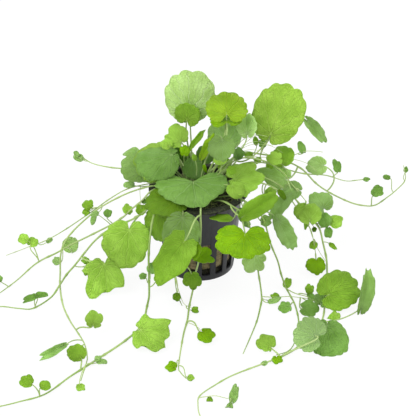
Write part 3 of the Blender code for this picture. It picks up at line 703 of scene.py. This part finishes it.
def blade_bmesh(seed, width, form, fold):
    """A thin closed blade lying flat with the stalk's end at the origin and the tip towards +Y.
    "blade" keeps each vertex's flat place, with 1 on the underside as the third value, and the
    last value of "tone" keeps how near the edge it is."""
    middle, length, point, teeth, depth, notch, wander = form
    notch = radians(notch)
    young = width < YOUNG
    coarse = 0.6 if young else 1.0
    if young:
        teeth, depth, wander = min(teeth, 8), max(depth, 0.16), max(wander, 0.16)
    bm = bmesh.new()
    place = bm.verts.layers.float_vector.new("blade")
    tone = bm.verts.layers.float_color.new("tone")
    chance = Random(seed)
    swing, waves = chance.uniform(0, tau), chance.choice((2, 3, 4))
    ruffle, skew = chance.uniform(0.015, 0.04), chance.uniform(-0.08, 0.08)
    cup, curl = chance.uniform(-0.22, 0.10), chance.uniform(-0.22, 0.10)
    if young:
        cup, curl, ruffle = 2.2 * cup, 2 * curl, 2 * ruffle
    steps, rings = (4 * teeth, 3) if young else (max(5 * teeth, 60), RINGS)
    row = [bm.verts.new((0.0, ring / rings, 0.0)) for ring in range(rings + 1)]
    links = [bm.edges.new(pair) for pair in zip(row, row[1:])]
    bmesh.ops.rotate(bm, verts=row, matrix=Matrix.Rotation(notch, 3, "Z"))
    bmesh.ops.spin(
        bm, geom=row + links, cent=(0, 0, 0), axis=(0, 0, -1), angle=2 * notch, steps=steps
    )
    bmesh.ops.remove_doubles(bm, verts=bm.verts, dist=1e-4)
    bmesh.ops.recalc_face_normals(bm, faces=bm.faces)
    bmesh.ops.reverse_faces(bm, faces=bm.faces)
    bmesh.ops.solidify(bm, geom=bm.faces[:], thickness=BLADE)
    for vert in bm.verts:
        x, y, z = vert.co
        reach = min(hypot(x, y), 1.0)
        angle = atan2(x, y)
        # The outline: a circle set off from the stalk, drawn out at the tip, uneven and notched
        arc = middle * cos(angle) + sqrt(0.25 - (middle * sin(angle)) ** 2)
        arc *= 1.0 + point * exp(-((angle / 0.45) ** 2)) + skew * sin(angle * 1.5)
        arc *= 1.0 + wander * noise.noise((angle * 1.4, swing, width))
        arc *= 1.0 - 0.30 * max(0.0, (abs(angle) - notch + 0.5) / 0.5) ** 2
        # The teeth, cut in towards the edge only
        beat = teeth * angle / 2 + swing + 0.8 * noise.noise((angle * 1.6, width, swing))
        tooth = abs(cos(beat)) if form in SHARP else 1.0 - abs(cos(beat)) ** 0.7
        tooth *= 1.0 + noise.noise((angle * 2.1, swing, 5.0))
        arc *= 1.0 - depth * tooth * reach**5
        across, along = reach * arc * sin(angle), reach * arc * cos(angle) * length
        # Up or down: the fold, cup, curl and ruffled edge, crumples, and puffs between the veins
        rise = sin(fold) * (sqrt(across**2 + 0.0008) - 0.028)
        rise += cup * (across**2 + along**2) + curl * along * abs(along)
        rise += ruffle * reach**3 * sin(waves * angle + swing)
        rise += 0.045 * reach * noise.noise((across * 4.5, along * 4.5, swing))
        rise += 0.012 * reach * (1 - reach**2) * abs(sin(pi * angle / VEIN_SPACING))
        vert.co = (across * cos(fold) * width, along * width, rise * width + z)
        vert[place] = (across * coarse, along * coarse, 1.0 if abs(z) > BLADE / 2 else 0.0)
        vert[tone] = (1.0, 1.0, 1.0, reach)
    return bm


def point_on_runner(source, where):
    """The point this share of the way along a runner, and the way that the runner goes there."""
    route = routes[source]
    place = where * (len(route) - 1)
    before = min(int(place), len(route) - 2)
    here, there = Vector(route[before]), Vector(route[before + 1])
    return here.lerp(there, place - before), (there - here).normalized()


def leaf_base(source, where, joint):
    """Where the stalk begins, just inside what it grows from, and the way that it leaves."""
    if source == "crown":
        x, y = where
        return Vector((x, y, crown_height(x, y) - BURIED)), Vector((x, y, SHOOT_ORIGIN)).normalized()
    axis, along = point_on_runner(source, where)
    leaving = joint - axis
    if where < 1.0:
        leaving -= leaving.dot(along) * along
    return axis, leaving.normalized()


def leaf_bmesh(seed, source, where, joint, heading, width, form, lift, turn, fold, colour):
    """One blade with its stalk."""
    joint = Vector(joint)
    lie = facing(heading, lift, turn)
    tip, normal = lie.col[1], lie.col[2]
    bm = blade_bmesh(seed, width, form, radians(fold))
    tone = bm.verts.layers.float_color["tone"]
    bmesh.ops.transform(bm, matrix=Matrix.Translation(joint) @ lie.to_4x4(), verts=bm.verts)
    chance = Random(seed)
    shade = colour * chance.uniform(0.93, 1.07) * (YOUNG_PAINTED_LIGHT if width < YOUNG else 1)
    lit = chance.uniform(0, tau)
    place = bm.verts.layers.float_vector["blade"]
    for vert in bm.verts:
        across, along, underside = vert[place]
        # Painted light and shade make one side of the blade lighter than the other; the blade is also a
        # little darker near the stalk.
        light = 1.0 + PAINTED_LIT_SIDE * (sin(lit) * across + cos(lit) * (along - 0.3))
        light *= 1.0 - 0.12 * exp(-(hypot(across, along) / 0.12) ** 2)
        vert[tone] = (*(shade * light), vert[tone][3])
        vert.co.z = max(vert.co.z, TABLE_GAP + BLADE * (1 - underside))
    base, leaving = leaf_base(source, where, joint)
    arriving = cos(STALK_SLANT) * tip + sin(STALK_SLANT) * normal
    below = joint - normal * BLADE
    pull = STALK_PULL * (below - base).length
    bend = (base, base + leaving * pull, below - arriving * pull, below)
    points = geometry.interpolate_bezier(*bend, STALK_STEPS + 1)
    points.append(joint + tip * width * 0.05 - normal * BLADE / 2)
    thick = min(STALK_THICK, 0.02 * width + 0.16)
    radii = [thick * (1.25 - 0.35 * number / STALK_STEPS) for number in range(STALK_STEPS + 1)]
    stalk_tone = PALE_STEM.lerp(colour, 0.35)
    for vert in grow_tube(bm, points, [*radii, thick * 0.4], 6, material=1):
        vert[tone] = (*stalk_tone, 1.0)
    return bm


def vein_group():
    """Veins fanning out from the stalk, their side veins and the fine net, from the flat place."""
    group = bpy.data.node_groups.new("leaf_veins", "ShaderNodeTree")
    group.interface.new_socket("Blade", in_out="INPUT", socket_type="NodeSocketVector")
    for name in ("Veins", "Net", "Quilt"):
        group.interface.new_socket(name, in_out="OUTPUT", socket_type="NodeSocketFloat")
    inside = group.nodes.new("NodeGroupInput").outputs["Blade"]
    outside = group.nodes.new("NodeGroupOutput")
    flat = node(group, "VectorMath", {0: inside, 1: (1, 1, 0)}, operation="MULTIPLY").outputs[0]
    parts = node(group, "SeparateXYZ", {0: flat}).outputs
    reach = node(group, "VectorMath", {0: flat}, operation="LENGTH").outputs["Value"]
    wobble = node(group, "TexNoise", {"Vector": flat, "Scale": 5.0, "Detail": 2.0}).outputs[0]
    angle = maths(group, "ARCTAN2", parts[0], parts[1])
    bent = times(group, maths(group, "SUBTRACT", wobble, 0.5), 0.45)
    angle = maths(group, "ADD", angle, bent)

    def fan(spacing, offset, thickness):
        """Lines out from the stalk, this far apart in angle."""
        turns = maths(group, "ADD", maths(group, "DIVIDE", angle, spacing), offset)
        off = maths(group, "ABSOLUTE", maths(group, "SUBTRACT", turns, maths(group, "ROUND", turns)))
        gap = times(group, times(group, off, spacing), reach)
        return spread(group, gap, thickness * 0.35, thickness, 1.0, 0.0, interpolation_type="SMOOTHSTEP")

    main = fan(VEIN_SPACING, 0.0, 0.016)
    forks = times(group, fan(VEIN_SPACING, 0.5, 0.010), spread(group, reach, 0.20, 0.34, 0.0, 0.75))
    twigs = times(group, fan(VEIN_SPACING / 2, 0.5, 0.007), spread(group, reach, 0.34, 0.50, 0.0, 0.5))
    veins = maths(group, "MAXIMUM", main, maths(group, "MAXIMUM", forks, twigs))
    cells = node(group, "TexVoronoi", {"Vector": flat, "Scale": 22.0}, feature="DISTANCE_TO_EDGE").outputs[0]
    net = spread(group, cells, 0.0, 0.09, 1.0, 0.0)
    quilt = maths(group, "SUBTRACT", 1.0, maths(group, "ADD", veins, times(group, net, 0.35)))
    for value, socket in zip((veins, net, quilt), outside.inputs):
        group.links.new(value, socket)
    return group


def leaf_finish():
    """Soft matt green that lets light through, with pale veins, a paler underside, mottling and a
    painted highlight towards the edge.
    """
    material, tree = new_material("leaf_green")
    blade = node(tree, "Attribute", attribute_name="blade").outputs["Vector"]
    tone_at = node(tree, "Attribute", attribute_name="tone").outputs
    tone, edge = tone_at["Color"], tone_at["Alpha"]
    pattern = tree.nodes.new("ShaderNodeGroup")
    pattern.node_tree = vein_group()
    tree.links.new(blade, pattern.inputs["Blade"])
    veins, net, quilt = pattern.outputs
    under = node(tree, "SeparateXYZ", {0: blade}).outputs[2]
    patches = spread(tree, object_noise(tree, 150, 5), 0.34, 0.66)
    fine = object_noise(tree, 1300, 3)
    dark = blend(tree, 1.0, tone, (0.92, 0.97, 0.74, 1), "MULTIPLY")
    light = blend(tree, 1.0, tone, (1.38, 1.31, 1.46, 1), "MULTIPLY")
    colour = blend(tree, patches, dark, light)
    # Painted highlight: the blade is lighter towards its edge, as light shows through it there.
    colour = blend(tree, spread(tree, edge, 0.82, 1.0, 0.0, 0.55), colour, light)
    colour = blend(tree, times(tree, net, 0.16), colour, dark)
    vein_colour = blend(tree, 1.0, light, (1.22, 1.14, 1.5, 1), "MULTIPLY")
    colour = blend(tree, times(tree, veins, 0.6), colour, vein_colour)
    colour = blend(tree, times(tree, under, 0.25), colour, (0.50, 0.66, 0.36, 1))
    raised = maths(tree, "ADD", quilt, times(tree, fine, 0.5))
    bump = relief(tree, 0.85, 0.0006, raised)
    shader = skin(tree, colour, spread(tree, patches, 0, 1, 0.55, 0.42), 0.25, Normal=bump)
    through = blend(tree, 0.25, colour, (0.62, 0.95, 0.10, 1))
    glow = node(tree, "BsdfTranslucent", {"Color": through, "Normal": bump})
    mixed = node(tree, "MixShader", {0: 0.38, 1: shader.outputs[0], 2: glow.outputs[0]})
    return shown(material, mixed)


leaf_green = leaf_finish()
for name, plan in LEAVES.items():
    leaf = close_plant("blade_" + name, leaf_bmesh("leaf_" + name, *plan), leaf_green, stem_skin)
    if "leaf_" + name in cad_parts:
        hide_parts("leaf_" + name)


# ---- Side shoots ----
# Thin side shoots, about half a millimetre thick, that fork off the runners or rise from the
# crown, and carry the youngest leaves.

SIDE_SHOOTS = {
    "cross": (0.30, ((34, -36.5, 1.6), (41, -38, 2.2), (49, -38.5, 3), (57, -39, 2.2), (63, -39, 1.6))),
    "fork": (0.35, ((47, -28, 1.6), (51, -33, 2), (54, -35, 2), (59, -39.5, 3.2), (63, -46, 2))),
    "out": (0.22, ((-6, -60, 1), (-3, -64, 2.5), (0, -68, 3), (2, -73, 3.5))),
    "end": (0.28, ((0, -125, 1), (4, -126, 2.5), (9, -126, 3), (14, -128, 3), (16, -129, 4))),
    "far": (0.28, ((46, 17, 56), (52, 14, 61), (58, 14, 63.5), (64, 14, 63.5), (68, 14, 63))),
    "upper": (0.25, ((8, 4, 46), (16, 7, 64), (24, 8, 74), (31, 8, 77), (37, 8, 76))),
    "middle": (0.22, ((9, 3, 46), (17, 6, 60), (24, 6, 71), (32, 6, 74), (40, 6, 71))),
    "drop": (0.20, ((60, 3, 26), (63, 0, 17), (67, -1, 8), (72, -4, 1.2))),
    "foot": (0.25, (
        (-12.6, -31, 18), (-12.5, -34, 11), (-10.5, -37, 4.5), (-8, -43, 1.2), (-4, -47, 1.6),
    )),
    "thread_a": (0.20, (
        (7, 2, 47), (18, 6, 62.5), (23, 9, 69), (29, 12, 73), (34.5, 14, 74.5), (38, 15, 73.5),
    )),
    "thread_b": (0.20, (
        (8, 0, 46), (17, 4, 63), (25.5, 6, 68.5), (34.5, 8, 66.5), (44.5, 9, 59), (50.5, 9, 50.5),
    )),
    "thread_c": (0.25, (
        (9, 1, 46), (19, 5, 61), (26, 7, 64), (34.5, 10, 62), (46.5, 14, 59.5), (59, 18, 54),
        (66, 20, 46.5),
    )),
    "thread_d": (0.18, (
        (7, 3, 47), (18.5, 5, 62), (22.5, 8, 67.5), (29.5, 10, 70), (39, 12, 68), (46, 13, 63),
    )),
    "hanging": (0.22, ((-32, 2.5, 48), (-32, -6, 50), (-31.5, -13, 49), (-31, -17, 45))),
}

bm = bmesh.new()
tone = bm.verts.layers.float_color.new("tone")
for name, (radius, points) in SIDE_SHOOTS.items():
    route = routes[name] = smooth_route(points)
    radii = [radius * (1.0 - 0.5 * number / len(route)) for number in range(len(route))]
    for vert in grow_tube(bm, route, radii, 6):
        vert[tone] = (*PALE_STEM, 1.0)
close_plant("side_shoots", bm, stem_skin)


# ---- Young leaves ----
# Small leaves and buds at the nodes of the runners and in the crown, made like the large ones.
# The young leaves of one runner, or of the crown, are one piece.

# Each leaf: how far along the runner or where in the crown it grows, the blade's place (from
# there, but in the crown from the pot's foot), and the rest from its width on as for a large one
YOUNG_LEAVES = {
    "crown": (
        ((-9, 4), -36, 4, 48, 4.5, CHIP, 60, 265, 4, SOFT),
        ((-8, 7), -34, 16, 62, 6.5, CHIP, 62, 250, 6, SOFT),
        ((-8, 5), -27, 16, 62, 5, CHIP, 62, 100, 6, SOFT),
        ((-5, 6), -8, 6, 66, 6.5, SCOOP, 40, 170, 12, BRIGHT),
        ((-4, 4), -4, 8, 70, 5.5, STRAP, 31, 140, 45, MID), ((3, 3), 2, 4, 66, 7, STRAP, 31, 153, 40, OLIVE),
        ((-6, 5), -16, 8, 70, 7, SCOOP, 40, 225, 10, FRESH),
        ((5, 3), 21, 0, 67, 7.5, ROUND, 30, 170, 30, SHADE),
        ((4, -2), 12, -2, 65, 8, ROUND, 55, 195, 10, FRESH), ((6, -4), 16, -6, 64, 6, ROUND, 55, 60, 6, MID),
        ((0, -2), 3, -6, 66, 2.5, NARROW, 30, 5, 30, BRIGHT),
        ((-2, 2), -2, -2, 67, 3, CHIP, 40, 200, 10, MID),
        ((4, -5), 18, -16, 59, 10.5, SCOOP, 62, 30, 10, FRESH),
        ((6, -6), 22, -16, 57.5, 8, LOBED, 62, 30, 10, FRESH),
        ((-7, 4), -16, 5, 65, 24, ROUND, 42, 290, -14, FRESH),
        ((3, 4), 15, 3, 87.2, 18, KIDNEY, 84, 178, 2, BRIGHT),
        ((-2, 7), -6.5, 16, 82, 15, KIDNEY, 30, 165, 4, MID),
        ((-3, 6), -9, 12, 58, 12, HEART, 40, 200, 0, SHADE),
        ((2, 7), 3, 13, 58, 11, ROUND, 45, 170, 0, SHADE), ((5, 6), 11, 12, 56, 9, LOBED, 40, 120, 0, MID),
        ((-6, 5), -15, 11, 57, 10, HEART, 50, 215, 8, DEEP),
    ),
    "left_high": (
        (0.89, -3, 0, 1, 5, CHIP, 45, 250, 10, SOFT), (0.91, -4, 0, 2, 3, CHIP, 35, 215, 0, SOFT),
    ),
    "left_thin": (
        (0.44, -4, 0, -7, 3.5, CHIP, 55, 330, 0, SOFT), (0.47, -4, 0, 0, 6.5, ROUND, 40, 215, 6, MID),
        (0.47, -5, 0, -2, 4.5, ROUND, 60, 290, 4, MID), (0.83, 5, 0, 1, 3, CHIP, 35, 120, 5, SOFT),
    ),
    "left_long": (
        (0.82, -9, -12, 5, 7, STRAP, 31, 301, 48, SOFT), (0.84, -2, -7, 1, 6.5, SCOOP, 60, 235, 14, MID),
        (0.94, 5, 1, 2, 3, CHIP, 50, 130, 6, SOFT), (0.95, -2, -14, -1, 5, ROUND, 62, 8, 8, FRESH),
    ),
    "left_middle": (
        (0.17, 0, 0, -1, 3, CHIP, 50, 100, 0, COOL), (0.3, 5, 0, 5, 6, HEART, 35, 170, 8, FRESH),
        (0.33, -3, 0, 5, 5, ROUND, 38, 160, 6, COOL), (0.34, -7, 0, 7, 4, CHIP, 60, 250, 4, SOFT),
        (0.57, 2, 10, -8.4, 9.5, ROUND, 35, 190, 6, PALE), (0.59, -2, -4, -6, 5, ROUND, 40, 250, 6, SOFT),
        (0.7, -4, -1, 12, 7, SCOOP, 48, 150, 12, FRESH), (0.7, -6, -1, 15, 6.5, SCOOP, 45, 245, 12, FRESH),
        (0.9, -4, 0, 4, 4.5, ROUND, 50, 215, 6, COOL),
    ),
    "left_low": (
        (0.23, 3, 0, 3, 6, ROUND, 40, 160, 8, MID), (0.55, 7, 0, 2, 5, SCOOP, 45, 215, 30, FRESH),
        (0.55, 6, 0, -2, 4, NARROW, 30, 20, 30, MID), (0.82, 1, 0, 7, 4.5, NARROW, 60, 105, 30, COOL),
        (0.82, 1, 0, 7, 5, NARROW, 60, 285, 30, COOL),
    ),
    "front_left": (
        (0.31, 1, 0, 5, 6.5, SCOOP, 45, 150, 10, COOL), (0.32, -2, 0, 4, 4.5, ROUND, 55, 245, 6, COOL),
        (0.33, 4, 0, 4, 7.5, ROUND, 52, 125, 8, MID), (0.69, 4, -1, 2, 3.5, NARROW, 60, 100, 20, SOFT),
        (0.86, -4, 0, 8, 7.5, ROUND, 58, 245, 8, MID), (0.86, 1, 0, 6, 6, ROUND, 60, 110, 8, MID),
    ),
    "front": (
        (0.27, -4, -15, 8, 10, LOBED, 45, 10, 14, BRIGHT),
        (0.33, -1, -9, 6.5, 12, LOBED, 74, 75, 10, BRIGHT), (0.33, -2, -8, 5, 8, ROUND, 55, 200, 16, BRIGHT),
        (0.89, -2, -7, 1, 6.5, SCOOP, 55, 255, 12, BRIGHT), (0.92, 5, -11, 1, 4, ROUND, 62, 85, 8, FRESH),
    ),
    "right_low": (
        (0.11, 2, 0, -8, 5.5, NARROW, 20, 20, 25, COOL), (0.13, 2, 0, -11, 5, NARROW, 20, 15, 25, COOL),
        (0.21, 2, 0, -6, 7, ROUND, 25, 100, 20, GREY), (0.52, 1, -2, -2, 5, OVAL, 55, 160, 10, FRESH),
        (0.64, -3, -5, 1, 7.5, SCOOP, 60, 275, 8, COOL),
    ),
    "front_right": ((0.18, -4, 0, -6, 7, NARROW, 74, 262, 10, MID),),
    "right_thin": (
        (0.33, 2, 4, -9, 6.5, ROUND, 45, 120, 12, FRESH), (0.35, 4, 4, -14, 6.5, ROUND, 45, 120, 12, FRESH),
        (0.39, 4, 0, -3, 4, NARROW, 35, 40, 30, DEEP), (0.7, 3, 0, -4, 3.5, CHIP, 45, 0, 6, MID),
    ),
    "right_long": (
        (0.15, 4, 0, -4, 6.5, ROUND, 45, 90, 14, FRESH), (0.24, 4, 0, -9, 3, ROUND, 45, 20, 6, DEEP),
        (0.26, 5, 0, 4, 8.5, ROUND, 45, 10, 10, COOL), (0.27, 8, 0, 1, 8.5, ROUND, 50, 118, 6, FRESH),
        (0.28, 5, 0, 0, 5.5, OVAL, 45, 350, 16, COOL), (0.31, 4, 0, -1, 3, NARROW, 45, 60, 10, MID),
        (0.51, 6, -7, 1, 6.5, CHIP, 60, 330, 6, FRESH), (0.72, 0, 0, 1, 6, SCOOP, 65, 10, 8, BRIGHT),
        (0.73, -3, -3, 1, 3, CHIP, 50, 300, 10, SOFT),
    ),
    "right_back": (
        (0.18, 1, 1, 5, 3.5, CHIP, 45, 200, 10, MID), (0.2, 1, 0, 5, 5, SCOOP, 45, 170, 10, COOL),
        (0.2, 4, 0, -6, 5, SCOOP, 45, 60, 10, MID), (0.78, 1, 0, 8, 7, OVAL, 45, 135, 14, COOL),
        (0.87, -3, 0, 10, 3.5, CHIP, 40, 262, 10, COOL), (0.93, 0, 0, 6, 3, CHIP, 40, 160, 10, COOL),
    ),
    "right_high": (
        (0.3, -4, 0, 4, 4.5, CHIP, 50, 240, 10, MID), (0.31, -1, 0, 0, 4.5, SCOOP, 45, 190, 10, MID),
        (0.8, 3, 0, 4, 5.5, CHIP, 40, 190, 14, COOL), (0.93, 7, 0, 1, 3, CHIP, 40, 90, 10, COOL),
    ),
    "right_short": (
        (0.54, 7, 0, 2, 9, LOBED, 50, 262, 14, FRESH), (0.8, -2, 0, -6, 5, SCOOP, 45, 60, 14, BRIGHT),
        (0.87, 2, 0, -1, 11, ROUND, 40, 260, 14, SOFT), (1, 0, 0, -3, 11, ROUND, 45, 345, 10, FRESH),
    ),
    "back": (
        (0.24, -10, 1, -13, 18, HEART, 30, 15, 4, MID), (0.3, 5, 10, -7, 20, ROUND, 35, 350, 0, SOFT),
        (0.48, -9, 6, -5, 15, HEART, 45, 30, 8, FRESH), (0.62, 9, 7, 3, 17, LOBED, 55, 0, 6, BRIGHT),
        (0.78, -6, 4, 5, 12, ROUND, 60, 60, 0, MID), (0.82, 6, 3, 5, 9, HEART, 60, 340, 0, COOL),
        (0.97, 2, -1, 3, 7, SCOOP, 60, 20, 0, FRESH),
    ),
    "back_short": (
        (0.18, 11, 5, -12, 15, ROUND, 40, 10, 4, COOL), (0.3, 4, 6, -12, 18, HEART, 35, 350, 0, FRESH),
        (0.5, 8, 9, -11, 14, ANGULAR, 45, 330, 8, MID), (0.66, -8, 8, -5, 12, HEART, 55, 20, 0, DEEP),
        (0.86, 3, 6, 5, 10, ROUND, 60, 320, 0, SOFT), (1, 0, 0, 2, 6, SCOOP, 60, 0, 0, BRIGHT),
    ),
    "cross": (
        (0, 8, -2, 0, 5, ROUND, 60, 190, 8, MID), (0, 4, -5, 0, 4.5, NARROW, 74, 85, 10, SOFT),
        (0.72, 1, -10, 0, 11, SCOOP, 62, 80, 8, COOL), (0.76, 5, -2, 0, 4.5, CHIP, 50, 190, 10, COOL),
    ),
    "fork": (
        (0.4, 6, 0, 1, 5.5, OVAL, 50, 170, 10, MID), (0.8, 5, -2, -1, 11, SCOOP, 55, 150, 10, SOFT),
    ),
    "end": (
        (0.35, 0, 0, -1, 3.5, CHIP, 40, 5, 10, MID), (1, 1, 0, -2, 5.5, NARROW, 35, 172, 30, SOFT),
        (1, 0, -2, -2, 4, NARROW, 35, 345, 24, SOFT),
    ),
    "far": ((0.44, 3, 0, 1, 5, CHIP, 40, 195, 10, COOL),),
    "drop": ((0.41, 1, 0, -2, 5, ROUND, 45, 330, 10, MID),),
    "foot": (
        (0.21, 1, -8, -6, 5, ROUND, 45, 0, 10, DEEP), (0.89, 3, -5, 1, 4.5, ROUND, 60, 80, 10, MID),
    ),
}

for source, plans in YOUNG_LEAVES.items():
    bm = bmesh.new()
    for number, (where, x, y, z, *plan) in enumerate(plans):
        seed, joint = f"{source} {number}", Vector((x, y, z))
        if source != "crown":
            joint += point_on_runner(source, where)[0]
        heading = Random(seed).uniform(-15, 15) + (180 if source.startswith("back") else 0)
        one = leaf_bmesh(seed, source, where, joint, heading, *plan)
        mesh = bpy.data.meshes.new("young")
        one.to_mesh(mesh)
        one.free()
        bm.from_mesh(mesh)
        bpy.data.meshes.remove(mesh)
    close_plant("young_leaves_" + source, bm, leaf_green, stem_skin)
